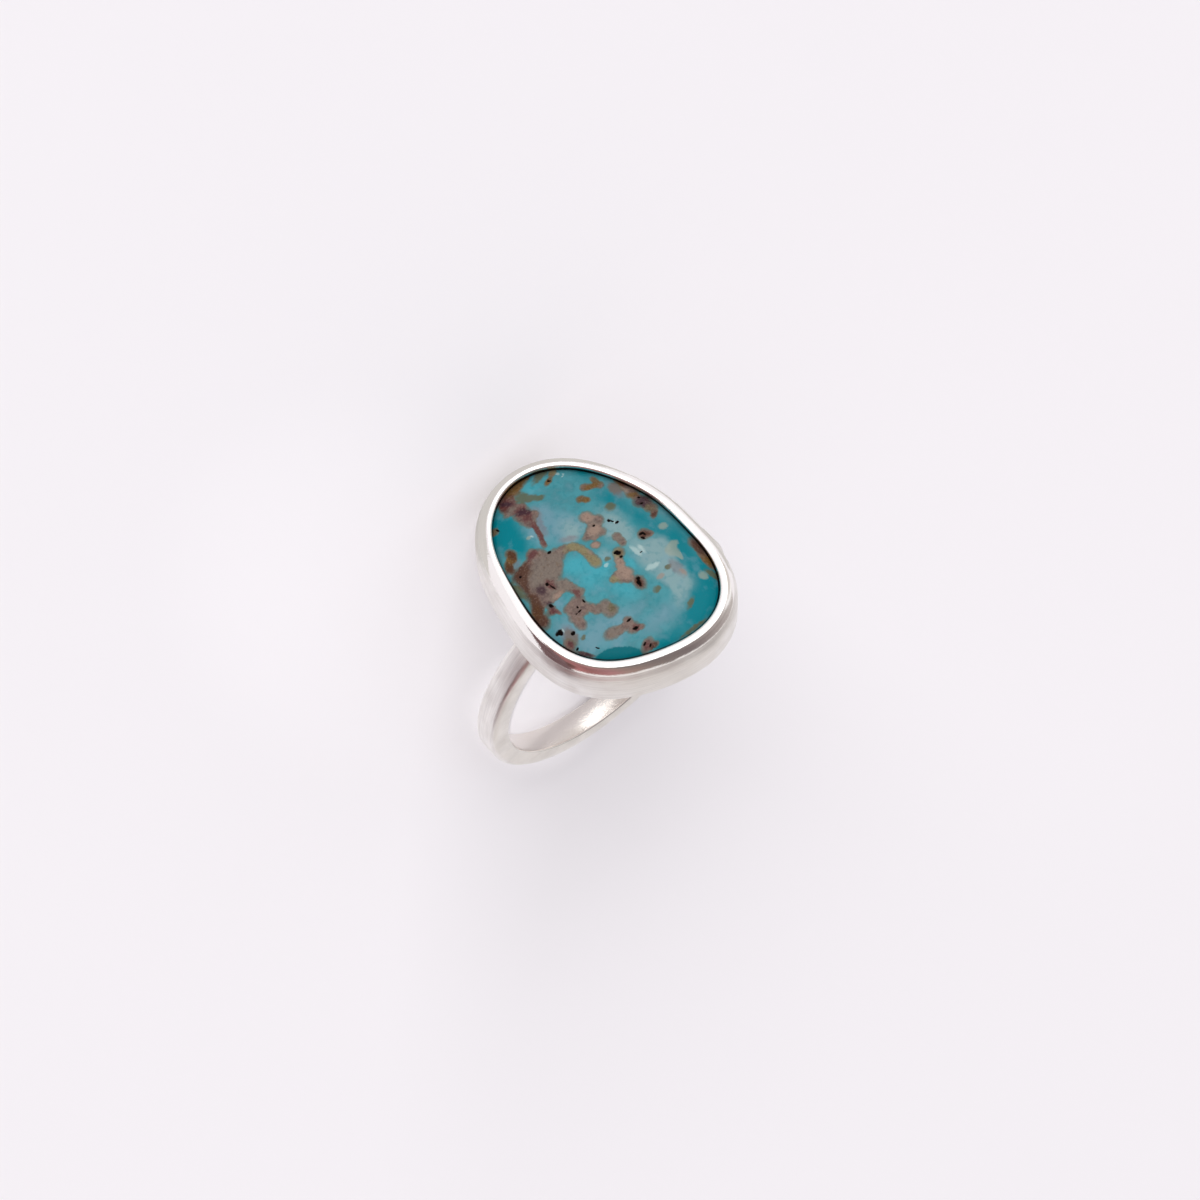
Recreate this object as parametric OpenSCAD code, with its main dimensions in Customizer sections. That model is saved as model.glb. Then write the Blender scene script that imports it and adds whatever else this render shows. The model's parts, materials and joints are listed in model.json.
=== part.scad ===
// Silver ring with an irregular oval turquoise cabochon, lying on its side.
// A closed cup with a thick polished lip holds the stone, and a plain band is soldered under it.
// Built in the ring's own frame: the finger's axis along Y, the stone facing +Z, millimetres.
// rest_pose() then lays it down: on the band's edge and the cup's wall, with the stone facing -Y.

/* [Finger hole and band] */
// Diameter of the finger hole
finger_d = 17.3; // [15.7:0.1:19.8]
// Width of the band, along the finger
band_w = 1.8; // [1.4:0.1:2.6]
// Thickness of the band, outward from the finger
band_t = 1.35; // [1.1:0.05:1.8]
// Radius of the band's rounded outer edges
band_edge_r = 0.35; // [0.2:0.05:0.5]
// Depth by which the band is filed flat where the cup sits on it
band_seat = 0.8; // [0.4:0.05:0.9]

/* [Setting] */
// Height of the cup, from its underside to the opening's edge
cup_h = 3.3; // [2.9:0.1:4]
// Thickness of the cup's back plate
plate_t = 0.7; // [0.5:0.05:0.9]
// Thickness of the cup's wall below the lip
wall_t = 0.85; // [0.6:0.05:0.9]
// Distance from the opening's edge out to the cup's wall
rim_w = 1.15; // [1:0.05:1.4]
// Width of the soft edge round the foot of the wall
foot_edge = 0.2; // [0.1:0.05:0.4]
// Height of the lip's upright inner face
lip_face = 0.3; // [0.2:0.05:0.4]
// Height over which the lip's underside slopes out to the wall
lip_slope = 0.45; // [0.3:0.05:0.5]

/* [Stone] */
// Height of the dome above its girdle
dome_h = 1.7; // [1:0.1:1.8]
// Gap between the stone and the silver
stone_gap = 0.06; // [0.04:0.01:0.1]
// Bevel round the stone's flat back
back_bevel = 0.25; // [0.1:0.05:0.4]

/* [Outline of the opening] */
// Place of the outline's centre across the ring
outline_x = 0.2; // [-1:0.1:1]
// Place of the outline's centre along the finger
outline_y = 0.5; // [-1:0.1:1]
// Sides of the polygon that follows the outline
outline_sides = 72; // [48:12:96]

/* [Resting pose] */
// Angle by which the finger's axis leans back from upright
lean = 21.9; // [20:0.1:28]
// Turn about the finger's axis to where the ring balances
roll = 0.3; // [-10:0.1:10]

/* [Hidden] */
$fn = 96;

silver = "#d9d6d3";
turquoise = "#3f9fa8";

finger_r = finger_d / 2;
band_r = finger_r + band_t;
plate_z = band_r - band_seat;
edge_z = plate_z + cup_h;

// Radius of the opening's edge from the outline's centre, one row for each twelfth of a turn
// columns: angle from +X toward +Y, radius
OPENING = [
    [0, 5.75], [30, 6.4], [60, 6.85], [90, 7.25],
    [120, 7.7], [150, 6.4], [180, 5.6], [210, 5.8],
    [240, 6.85], [270, 7.95], [300, 7.3], [330, 5.95]
];

// Section of the cup, from its foot up over the lip and down to its floor
// columns: distance out from the opening's edge, height above that edge
CUP = [
    [rim_w - foot_edge, -cup_h],
    [rim_w, foot_edge - cup_h],
    [rim_w, -1.35],
    [0.73 * rim_w, -0.33],
    [0.5 * rim_w, 0.15],
    [0, 0],
    [0, -lip_face],
    [rim_w - wall_t, -lip_face - lip_slope],
    [rim_w - wall_t, plate_t - cup_h]
];

// Section of the stone up to its girdle, then a dome of even steps
// columns: share of the outline's size, distance out from the opening's edge, height above that edge
girdle_out = rim_w - wall_t - stone_gap;
girdle_up = -lip_face - lip_slope - 3 * stone_gap;
dome_steps = 9;
dome_sweep = 84;
STONE = [
    [1, girdle_out - back_bevel, plate_t + stone_gap - cup_h],
    [1, girdle_out, plate_t + stone_gap + back_bevel - cup_h],
    for (k = [0:dome_steps])
        let (a = dome_sweep * k / dome_steps)
        [cos(a), girdle_out, girdle_up + dome_h * sin(a)]
];

// Smooth closed curve through the rows of OPENING: the trigonometric curve of least order
function bump(d, n) = abs(sin(d / 2)) < 0.00001 ? 1 : sin(n * d / 2) / (n * tan(d / 2));
function radius(a, i = 0, sum = 0) =
    i == len(OPENING) ? sum
    : radius(a, i + 1, sum + OPENING[i][1] * bump(a - OPENING[i][0], len(OPENING)));
function edge_point(a) = radius(a) * [cos(a), sin(a)];
function outward(a) =
    let (along = edge_point(a + 0.5) - edge_point(a - 0.5))
    [along[1], -along[0]] / norm(along);

// One ring of the loft: the outline moved outward, shrunk about its centre and set at a height
function loft_ring(share, out, up) = [
    for (k = [0:outline_sides - 1])
        let (a = 360 * k / outline_sides, p = share * (edge_point(a) + out * outward(a)))
        [outline_x + p[0], outline_y + p[1], edge_z + up]
];
function cup_points() = [for (row = CUP) each loft_ring(1, row[0], row[1])];
function stone_points() = [for (row = STONE) each loft_ring(row[0], row[1], row[2])];

module loft(points, rings) {
    n = outline_sides;
    walls = [
        for (r = [0:rings - 2], k = [0:n - 1])
            [r * n + k, (r + 1) * n + k, (r + 1) * n + (k + 1) % n, r * n + (k + 1) % n]
    ];
    foot = [for (k = [0:n - 1]) k];
    top = [for (k = [0:n - 1]) rings * n - 1 - k];
    polyhedron(points, concat([foot], walls, [top]), convexity = 6);
}

// How far the ring reaches along a unit direction of its own frame
function cup_reach(d) = max([for (p = cup_points()) p * d]);
function band_reach(d) =
    (band_r - band_edge_r) * norm([d[0], d[2]]) + (band_w / 2 - band_edge_r) * abs(d[1]) + band_edge_r;
function reach(d) = max(cup_reach(d), band_reach(d));

// The resting frame's directions, seen from the ring's own frame
rest_x = [cos(roll), 0, sin(roll)];
rest_y = [sin(roll) * cos(lean), sin(lean), -cos(roll) * cos(lean)];
rest_z = [-sin(roll) * sin(lean), cos(lean), cos(roll) * sin(lean)];

module rest_pose() {
    translate([
        (reach(-rest_x) - reach(rest_x)) / 2,
        (reach(-rest_y) - reach(rest_y)) / 2,
        reach(-rest_z)
    ])
    rotate([90 - lean, 0, 0])
    rotate([0, roll, 0])
    children();
}

module band_section() {
    translate([finger_r, -band_w / 2]) square([band_t - band_edge_r, band_w]);
    translate([finger_r, -band_w / 2 + band_edge_r]) square([band_t, band_w - 2 * band_edge_r]);
    for (side = [-1, 1])
        translate([band_r - band_edge_r, side * (band_w / 2 - band_edge_r)]) circle(band_edge_r);
}

// The band is cut level inside the back plate, so that the two are one solid
module band() {
    difference() {
        rotate([90, 0, 0]) rotate_extrude() band_section();
        translate([-band_r, -band_w, plate_z + plate_t / 2]) cube([2 * band_r, 2 * band_w, band_r]);
    }
}

module silver_ring() {
    color(silver)
    rest_pose() {
        band();
        loft(cup_points(), len(CUP));
    }
}

module turquoise_stone() {
    color(turquoise)
    rest_pose() loft(stone_points(), len(STONE));
}

silver_ring();
turquoise_stone();
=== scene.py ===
"""A silver finger ring with an irregular turquoise cabochon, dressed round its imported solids.

The silver is one soldered piece: a closed cup with a thick polished lip and a plain narrow band.
Both pieces are modelled in millimetres in the ring's own frame, with the finger's axis along Y and
the stone facing +Z, as in part.scad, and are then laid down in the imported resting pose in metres.
"""

import functools
import json
import math

import bmesh
import bpy
from mathutils import Matrix, Vector


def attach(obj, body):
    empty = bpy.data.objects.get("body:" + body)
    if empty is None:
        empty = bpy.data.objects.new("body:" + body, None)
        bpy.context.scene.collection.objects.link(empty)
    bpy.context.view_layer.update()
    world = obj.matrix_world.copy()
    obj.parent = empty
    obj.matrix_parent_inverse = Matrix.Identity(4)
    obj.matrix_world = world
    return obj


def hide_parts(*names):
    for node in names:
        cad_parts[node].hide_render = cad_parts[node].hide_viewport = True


bl_info = {
    "name": "Turquoise Ring",
    "version": (1, 0, 0),
    "blender": (4, 5, 0),
    "location": "View3D > Sidebar > Ring",
    "description": "Models and finishes a silver ring with an irregular turquoise cabochon",
    "category": "Object",
}

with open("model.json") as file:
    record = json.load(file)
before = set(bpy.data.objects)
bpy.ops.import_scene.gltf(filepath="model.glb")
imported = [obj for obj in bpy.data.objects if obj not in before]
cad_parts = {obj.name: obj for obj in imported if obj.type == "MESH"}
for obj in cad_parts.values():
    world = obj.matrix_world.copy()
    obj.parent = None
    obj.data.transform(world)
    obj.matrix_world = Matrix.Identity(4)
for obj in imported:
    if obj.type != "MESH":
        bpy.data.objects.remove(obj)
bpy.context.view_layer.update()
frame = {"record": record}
HOLE = frame["record"]["mounts"][0]

MM = 0.001

# Opening of the cup: radius from the outline's centre at each twelfth of a turn, from +X toward +Y
OPENING = (5.75, 6.4, 6.85, 7.25, 7.7, 6.4, 5.6, 5.8, 6.85, 7.95, 7.3, 5.95)
OPENING_CENTRE = Vector((0.2, 0.5))

# The ring lies with its finger axis leaning back from upright, and hardly turned about it
RING_ROLL = math.radians(0.3)
LEAN = math.acos(HOLE["axis"][2])
HOLE_CENTRE = Vector(HOLE["pos_m"])
LAY_DOWN = (
    Matrix.Translation(HOLE_CENTRE)
    @ Matrix.Rotation(math.radians(90) - LEAN, 4, "X")
    @ Matrix.Rotation(RING_ROLL, 4, "Y")
)

# Camera, as it was found from the photograph: directions in the ring's own frame
CAMERA_TOWARD = Vector((0.2784, 0.3479, 0.8953))
IMAGE_RIGHT = Vector((-0.759, 0.651, -0.017))
IMAGE_DOWN = Vector((0.588, 0.675, -0.445))
AIM_RIGHT_MM = -0.157
AIM_DOWN_MM = -2.93
CAMERA_AWAY_MM = 300
LENS_MM = 138.7


def linear(code):
    """Turns an sRGB hex colour into the linear colour that the shaders take."""
    parts = [int(code[i : i + 2], 16) / 255 for i in (1, 3, 5)]
    return tuple(c / 12.92 if c <= 0.04045 else ((c + 0.055) / 1.055) ** 2.4 for c in parts)


def colour(name, description, code):
    return bpy.props.FloatVectorProperty(
        name=name, description=description, default=linear(code), min=0, max=1, subtype="COLOR"
    )


def number(name, description, default, **settings):
    return bpy.props.FloatProperty(
        name=name, description=description, default=default, **{"min": 0, **settings}
    )


def length(name, description, default_mm):
    """A size that is kept in metres, as Blender shows it, and given here in millimetres."""
    return number(name, description, default_mm * MM, precision=5, unit="LENGTH", subtype="DISTANCE")


def share(name, description, default):
    return number(name, description, default, max=1, subtype="FACTOR")


def power(name, description, default):
    return number(name, description, default, precision=3, unit="POWER")


class RingSizes(bpy.types.PropertyGroup):
    finger_d: length("Finger hole", "Diameter of the finger hole", 17.3)
    band_w: length("Band width", "Width of the band along the finger", 1.8)
    band_t: length("Band thickness", "Thickness of the band outward from the finger", 1.345)
    band_seat: length("Band seat", "Depth by which the band is filed flat under the cup", 0.8)
    outer_edge_r: length("Outer edges", "Radius of the band's outer edges", 0.35)
    inner_edge_r: length("Inner edges", "Radius of the band's edges at the finger", 0.12)
    cup_h: length("Cup height", "From the cup's underside to the edge of its opening", 3.3)
    plate_t: length("Back plate", "Thickness of the cup's back plate", 0.7)
    rim_w: length("Rim width", "From the opening's edge out to the cup's wall", 1.13)
    foot_edge: length("Foot edge", "Radius of the edge round the foot of the wall", 0.24)
    lip_face: length("Lip face", "Height of the lip's upright inner face", 0.3)
    lip_slope: length("Lip underside", "Height over which the lip's underside slopes out", 0.45)


class StoneSizes(bpy.types.PropertyGroup):
    dome_h: length("Dome height", "Height of the dome above the girdle", 1.55)
    girdle_out: length("Girdle", "Distance of the girdle outside the opening's edge", 0.24)
    girdle_down: length("Girdle depth", "Distance of the girdle below the opening's edge", 0.78)
    back_bevel: length("Back bevel", "Bevel round the stone's flat back", 0.25)
    stone_gap: length("Gap", "Gap between the stone and the back plate", 0.06)


class SilverFinish(bpy.types.PropertyGroup):
    silver: colour("Silver", "Colour of clean sterling silver", "#fcfaf6")
    # Darker and warmer than the silver: painted shade, for the shaded floor that the inner surface
    # mirrors
    inside: colour("Inside", "Colour of the band's inner surface, worn by the finger", "#ece6e0")
    # The seam's dark colour is partly tarnish and partly painted shade, where the lip's shadow falls
    tarnish: colour("Tarnish", "Colour of the dark film in the seam under the lip", "#3a302c")
    polish_roughness: share("Polish", "Roughness of the polished lip", 0.07)
    inside_roughness: share("Inside", "Roughness of the band's inner surface", 0.12)
    satin_roughness: share("Satin", "Roughness of the satin wall and band", 0.42)


class StoneColours(bpy.types.PropertyGroup):
    body: colour("Body", "Main colour of the turquoise", "#42828a")
    bright: colour("Bright", "Clear sky blue of the purest parts", "#409aa7")
    deep: colour("Deep teal", "Strongest blue green of the stone", "#02727d")
    wedge: colour("Wedge", "Dark teal beyond the healed fracture", "#00616a")
    haze: colour("Haze", "Lavender grey over the blue", "#688d99")
    # Partly pale clouds, partly a painted reflection: the white sheen on the polished dome
    pale: colour("Pale blue", "Chalky pale blue of the clouds", "#7d999b")
    olive: colour("Olive", "Thin matrix just under the surface", "#5a5434")
    cream: colour("Cream", "Pale spots of soft host rock", "#929888")
    # Partly whitish spots, partly painted highlights: glints on the lit walls of pits
    chalk: colour("Chalk", "Whitish spots and broken edges", "#b4c8c4")
    sand: colour("Sand", "Yellowish matrix that fades into the blue", "#7e7756")
    tan: colour("Tan", "Light pinkish matrix", "#927c6e")
    mauve: colour("Mauve", "Grey mauve matrix", "#6e5d56")
    veil: colour("Veil", "Rock that shows dimly through the blue", "#74656a")
    ash: colour("Ash", "Pale greyish matrix", "#72685f")
    ochre: colour("Ochre", "Iron-stained matrix", "#6a4e25")
    brown: colour("Brown", "Dark brown matrix", "#462614")
    maroon: colour("Maroon", "Dark red matrix", "#552226")
    purple: colour("Purple", "Purple black matrix", "#341c28")
    pit: colour("Pits", "Dark bottoms of the open pits", "#120c0a")
    polish: share("Polish", "Roughness of the polished stone", 0.1)


class StageSettings(bpy.types.PropertyGroup):
    floor: colour("Floor", "Colour of the matt white sheet", "#f3f0f3")
    floor_size: number("Floor size", "Radius of the sheet", 3, min=0.5, unit="LENGTH")
    room: colour("Room", "Colour of the soft light from all sides", "#fffdff")
    dim_side: colour("Dim side", "Colour of the room's dimmer sides, at +Y and -X", "#d6cfcc")
    dusk_folds: colour("Dusk folds", "Darker folds along the dusky arc", "#6e6260")
    bright_side: number("Bright side", "Light of the room's bright side, at -Y", 1.8)
    room_light: number("Room light", "Strength of all the light in the room", 1.0)
    fill: number("Fill", "Light on matt things from all sides", 0.8)
    key_power: power("Key light", "Power of the low lamp that lights the floor", 200)
    front_power: power("Front light", "Power of the soft lamp that lights the ring", 2.3)
    spot_power: power("Spot", "Power of the small spot on the floor inside the band", 1.2)
    side_power: power("Side spot", "Power of the spot on the floor beside the ring, at +X", 0.25)
    bounce_power: power("Bounce", "Power of the glow on the sheet before the ring", 0.06)


# Modelling

OUTLINE_SIDES = 216
BAND_STEPS = 240
DOME_RINGS = 30
# Points this near a height or a side are counted as on it
LEVEL_MM = 0.003
TINY_MM = 0.01


def start_clean():
    """Leaves edit mode and deselects everything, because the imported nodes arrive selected."""
    if bpy.context.object and bpy.context.object.mode != "OBJECT":
        bpy.ops.object.mode_set(mode="OBJECT")
    bpy.ops.object.select_all(action="DESELECT")


def make_active(piece):
    start_clean()
    piece.select_set(True)
    bpy.context.view_layer.objects.active = piece


def pick(piece, kind, test):
    """Selects, in edit mode, the parts whose corner points pass the test."""
    bpy.ops.mesh.select_mode(type=kind)
    bpy.ops.mesh.select_all(action="DESELECT")
    mesh = bmesh.from_edit_mesh(piece.data)
    parts = {"VERT": mesh.verts, "EDGE": mesh.edges, "FACE": mesh.faces}[kind]
    found = [p for p in parts if test([p.co] if kind == "VERT" else [v.co for v in p.verts])]
    if not found:
        raise RuntimeError(f"nothing to select on {piece.name}")
    for part in found:
        part.select_set(True)
    mesh.select_flush_mode()
    bmesh.update_edit_mesh(piece.data)


def on_all(operator, **settings):
    """Runs an edit operator on the whole piece."""
    bpy.ops.mesh.select_all(action="SELECT")
    operator(**settings)


def finish_faces(piece, slot, test):
    """Gives the faces that pass the test another of the piece's materials."""
    pick(piece, "FACE", test)
    for face in bmesh.from_edit_mesh(piece.data).faces:
        if face.select:
            face.material_index = slot
    bmesh.update_edit_mesh(piece.data)


def level(height):
    """A test for what lies wholly at one height."""
    return lambda points: all(abs(p.z - height) < LEVEL_MM for p in points)


def raise_face(height, grow=None):
    """Extrudes the selected face straight up, then may resize it about the outline's centre."""
    bpy.ops.mesh.extrude_region_move(TRANSFORM_OT_translate={"value": (0, 0, height)})
    if grow is not None:
        centre = (*OPENING_CENTRE, 0)
        bpy.ops.transform.resize(value=(grow, grow, 1), center_override=centre)


def bump(angle, count):
    """A wave that is 1 at one of the outline's given points and 0 at all the others."""
    if abs(math.sin(angle / 2)) < 1e-6:
        return 1
    return math.sin(count * angle / 2) / (count * math.tan(angle / 2))


def opening_radius(angle):
    """Radius of the opening at an angle, on the smooth closed curve through OPENING."""
    step = math.tau / len(OPENING)
    return sum(r * bump(angle - i * step, len(OPENING)) for i, r in enumerate(OPENING))


def side_angle(point):
    """The angle at which a point lies about the outline's centre."""
    place = point.xy - OPENING_CENTRE
    return math.atan2(place.y, place.x)


def opening_point(angle, out):
    """Point of the outline, moved outward by a distance along the curve's own normal."""
    def on_curve(a):
        return opening_radius(a) * Vector((math.cos(a), math.sin(a)))

    small = math.radians(0.5)
    along = on_curve(angle + small) - on_curve(angle - small)
    outward = Vector((along.y, -along.x)).normalized()
    return on_curve(angle) + out * outward


def inside_opening(point, out):
    """Whether a point lies inside the outline, moved outward by a distance."""
    edge = opening_point(side_angle(point), out)
    return (point.xy - OPENING_CENTRE).length < edge.length


def outline_plate(name, out, height):
    """A flat plate with the outline of the opening, grown outward, at a height in the ring's frame."""
    start_clean()
    bpy.ops.mesh.primitive_circle_add(
        vertices=OUTLINE_SIDES,
        radius=opening_radius(0),
        fill_type="NGON",
        location=(*OPENING_CENTRE, height),
    )
    piece = bpy.context.object
    piece.name = piece.data.name = name
    bpy.ops.object.transform_apply(location=True, rotation=True, scale=True)
    for vertex in piece.data.vertices:
        vertex.co.xy = OPENING_CENTRE + opening_point(side_angle(vertex.co), out)
    bpy.ops.object.mode_set(mode="EDIT")
    bpy.ops.mesh.select_mode(type="FACE")
    bpy.ops.mesh.select_all(action="SELECT")
    return piece


def apply_modifier(piece, kind, **settings):
    modifier = piece.modifiers.new(kind.title(), kind)
    for key, value in settings.items():
        setattr(modifier, key, value)
    bpy.ops.object.modifier_apply(modifier=modifier.name)


def soften(piece, angle_deg):
    """Shades the curves smooth, and keeps the flats flat between the rounded edges."""
    make_active(piece)
    bpy.ops.object.shade_smooth_by_angle(angle=math.radians(angle_deg))
    apply_modifier(piece, "WEIGHTED_NORMAL", keep_sharp=True, weight=60)


def lay_down(piece):
    """Moves a piece from the ring's frame in millimetres to its resting place in metres."""
    make_active(piece)
    piece.matrix_world = LAY_DOWN @ Matrix.Scale(MM, 4)
    bpy.ops.object.transform_apply(location=True, rotation=True, scale=True)


def settle(piece, packed_node, smooth_deg):
    """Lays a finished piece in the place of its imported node, on the ring's one body."""
    lay_down(piece)
    soften(piece, smooth_deg)
    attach(piece, "root")
    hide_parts(packed_node)


def in_mm(group):
    """All sizes of a property group in millimetres, by name."""
    return {key: getattr(group, key) / MM for key in type(group).__annotations__}


# Materials

CENTRE_MM = {
    "Location": HOLE_CENTRE,
    "Rotation": LAY_DOWN.to_euler("XYZ"),
    "Scale": Vector((MM, MM, MM)),
}


def node(tree, kind, inputs=None, **settings):
    """Adds a shader node with its settings, and sets or links its inputs by name or number. A node
    that is given for an input stands for its first output in use."""
    new = tree.nodes.new("ShaderNode" + kind)
    for key, value in settings.items():
        setattr(new, key, value)
    for key, value in (inputs or {}).items():
        if isinstance(value, bpy.types.Node):
            value = next(out for out in value.outputs if out.enabled)
        if isinstance(value, bpy.types.NodeSocket):
            tree.links.new(value, new.inputs[key])
        else:
            new.inputs[key].default_value = value
    return new


def rgba(tone, amount=1.0):
    """A linear colour, or a darker or lighter shade of it, as a node's input takes it."""
    return (*(min(1, amount * c) for c in tone), 1)


def empty_tree(owner):
    """Empties the tree of a material or world, and gives the function that adds nodes to it."""
    owner.use_nodes = True
    owner.node_tree.nodes.clear()
    return functools.partial(node, owner.node_tree)


def new_material(name):
    """A material, what adds nodes to it, and the object's coordinates as ring-frame millimetres."""
    material = bpy.data.materials.new(name)
    add = empty_tree(material)
    place = add("TexCoord").outputs["Object"]
    ring_mm = add("Mapping", {"Vector": place, **CENTRE_MM}, vector_type="TEXTURE")
    return material, add, ring_mm


def close_material(material, kind, inputs):
    """Adds the surface's shader and the output, and gives back the finished material."""
    surface = node(material.node_tree, kind, inputs)
    node(material.node_tree, "OutputMaterial", {"Surface": surface})
    return material


def silver_satin(finish, name, rub):
    """Sterling silver rubbed with fine abrasive: a soft white sheen with faint lines along the rub."""
    material, add, ring_mm = new_material(name)
    stroke = add("Mapping", {"Vector": ring_mm, "Scale": rub})
    # Abrasive lines are about 0.02 mm apart. They are drawn 0.1 mm apart, so that they show.
    scratch = add("TexNoise", {"Vector": stroke, "Scale": 1.0, "Detail": 4.0, "Roughness": 0.65})
    lines = add("MapRange", {"Value": scratch, "From Min": 0.35, "From Max": 0.65})
    # Slow unevenness of the hand rubbing, about 1 mm across
    patchy = add("TexNoise", {"Vector": ring_mm, "Scale": 0.9, "Detail": 4.0})
    rough = {"Value": patchy, "From Min": 0.35, "From Max": 0.65}
    rough["To Min"] = finish.satin_roughness - 0.1
    rough["To Max"] = finish.satin_roughness + 0.1
    relief = {"Height": scratch, "Strength": 0.5, "Distance": 0.00003}
    tone = {"Factor": lines, "A": rgba(finish.silver, 0.86), "B": rgba(finish.silver)}
    tone = add("Mix", tone, data_type="RGBA")
    look = {"Base Color": tone, "Metallic": 1.0, "Roughness": add("MapRange", rough)}
    return close_material(material, "BsdfPrincipled", {**look, "Normal": add("Bump", relief)})


def silver_polished(name, tone, roughness, wear):
    """Sterling silver buffed bright: clear reflections, with hair scratches and slight hollows."""
    material, add, ring_mm = new_material(name)
    # Slow hollows of hand polishing, about 1.5 mm across, bend the reflections a little
    hollow = add("TexNoise", {"Vector": ring_mm, "Scale": 0.7, "Detail": 1.0})
    # Hair scratches and dust, about 0.1 mm
    hair = add("TexNoise", {"Vector": ring_mm, "Scale": 9.0, "Detail": 5.0})
    height = add("Math", {0: hair, 1: wear, 2: hollow}, operation="MULTIPLY_ADD")
    relief = {"Height": height, "Strength": 0.4, "Distance": 0.00008}
    rough = {"Value": hair, "From Min": 0.35, "From Max": 0.75, "To Min": roughness}
    rough["To Max"] = roughness * 1.8
    look = {"Base Color": rgba(tone), "Metallic": 1.0, "Roughness": add("MapRange", rough)}
    return close_material(material, "BsdfPrincipled", {**look, "Normal": add("Bump", relief)})


def silver_tarnish_and_shade(finish):
    """Silver under the lip that no buff reaches: a dark brown film of tarnish and old polish, and painted
    shade in the seam under the lip.
    """
    material, add, ring_mm = new_material("silver_tarnished_seam")
    film = add("TexNoise", {"Vector": ring_mm, "Scale": 3.0, "Detail": 4.0})
    tone = {"Factor": film, "A": rgba(finish.tarnish, 0.3), "B": rgba(finish.tarnish)}
    tone = add("Mix", tone, data_type="RGBA")
    look = {"Base Color": tone, "Metallic": 1.0, "Roughness": 0.5}
    return close_material(material, "BsdfPrincipled", look)


# The stone's pattern, charted in millimetres in the ring's frame
# columns: across, along, half width, half height, and where the oval is turned, degrees
CLOUDS = {
    # The deep oval at (-3.2, -5.3), by the far side of the lip, is painted shade at the stone's edge
    "deep": (
        (3.3, -6.0, 0.7, 0.9), (3.7, -4.9, 0.9, 0.8), (3.5, -3.6, 0.5, 0.7), (-3.6, -0.2, 0.6, 0.9),
        (-4.4, 1.9, 0.8, 0.9), (-4.2, 4.2, 0.6, 1.2), (-3.0, 6.5, 1.1, 0.7), (-3.9, 5.7, 0.8, 0.8),
        (-1.4, 7.2, 1.5, 0.5), (-3.0, -2.5, 0.6, 0.8), (-3.2, -5.3, 0.5, 0.6), (1.2, 7.2, 0.8, 0.3),
    ),
    "bright": (
        (1.6, 1.0, 0.8, 1.1), (0.2, -6.4, 0.6, 0.6), (0.4, 0.7, 0.5, 0.5), (-0.9, 1.9, 0.4, 0.5),
        (0.5, 3.2, 0.5, 0.6), (1.8, -0.4, 0.5, 0.4),
    ),
    "haze": (
        (0.9, -3.4, 0.8, 1.1), (0.3, -2.4, 0.7, 0.6), (1.1, -4.5, 0.5, 0.5), (3.7, 3.9, 1.1, 0.6),
        (5.0, 2.6, 0.6, 0.7), (1.8, 4.5, 1.0, 0.4), (4.1, 1.1, 0.3, 0.35), (3.2, 5.4, 1.0, 0.4, 30),
        (0.0, 5.9, 1.3, 0.5), (2.2, -3.6, 0.4, 0.6), (4.5, 4.6, 0.5, 0.4),
    ),
    # The pale ovals with across -1.9 to -3.2 and along 1.5 to 5.6 are a painted reflection, the soft
    # white sheen of the polished dome. The others are pale clouds.
    "pale": (
        (0.3, -2.4, 0.6, 0.6), (0.6, -1.8, 0.4, 0.3), (-0.1, 0.4, 0.3, 0.3), (-2.0, -1.2, 0.6, 0.9),
        (-1.6, -0.3, 0.5, 0.6), (-2.1, 1.5, 0.5, 1.0), (-2.5, 2.7, 0.7, 0.7), (-2.9, 3.7, 0.45, 0.7),
        (-2.6, 4.8, 0.55, 0.7, 25), (-1.9, 5.6, 0.7, 0.4, 45), (-1.9, 4.4, 0.3, 0.7, 20),
        (-3.2, 1.9, 0.4, 0.5),
    ),
}
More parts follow.
